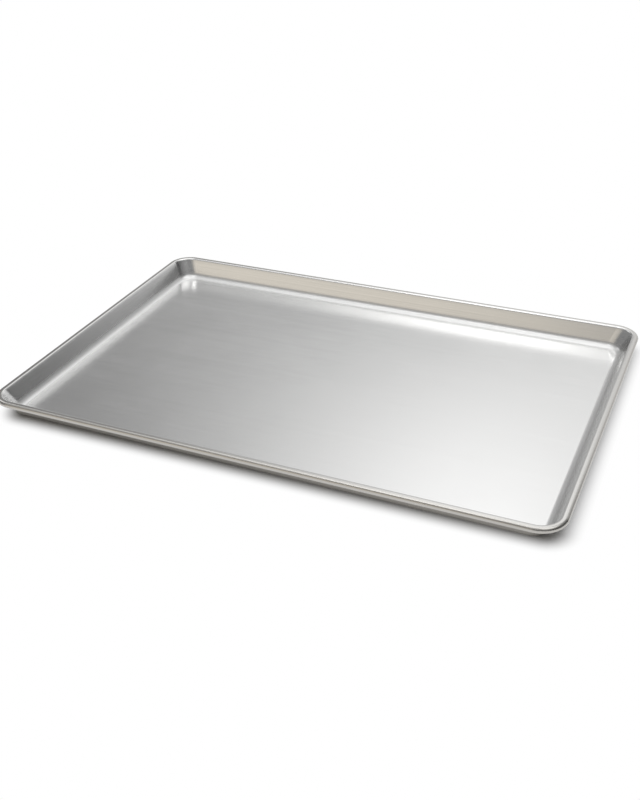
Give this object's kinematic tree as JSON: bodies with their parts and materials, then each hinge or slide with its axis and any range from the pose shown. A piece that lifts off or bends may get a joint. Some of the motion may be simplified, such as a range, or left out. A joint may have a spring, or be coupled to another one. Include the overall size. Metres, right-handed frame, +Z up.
{
  "type": "sheet pan",
  "caption": "Full-size shallow rectangular baking pan drawn from metal sheet: flat floor, leaning walls, rounded corners and a rim rolled outwards round a stiffening wire.",
  "frame": {"origin": "centre of the pan's footprint, on the surface that its floor rests on", "axes": "+X along the long side, +Y along the short side, +Z up out of the pan"},
  "size_m": [0.654, 0.451, 0.0254],
  "materials": {
    "satin_aluminium": "bare mill finish, satin, with a faint rolled grain",
    "galvanised_steel": "zinc-coated wire, dull grey"
  },
  "bodies": {
    "root": {"pan_shell": "satin_aluminium", "rim_wire": "galvanised_steel"}
  },
  "joints": []
}
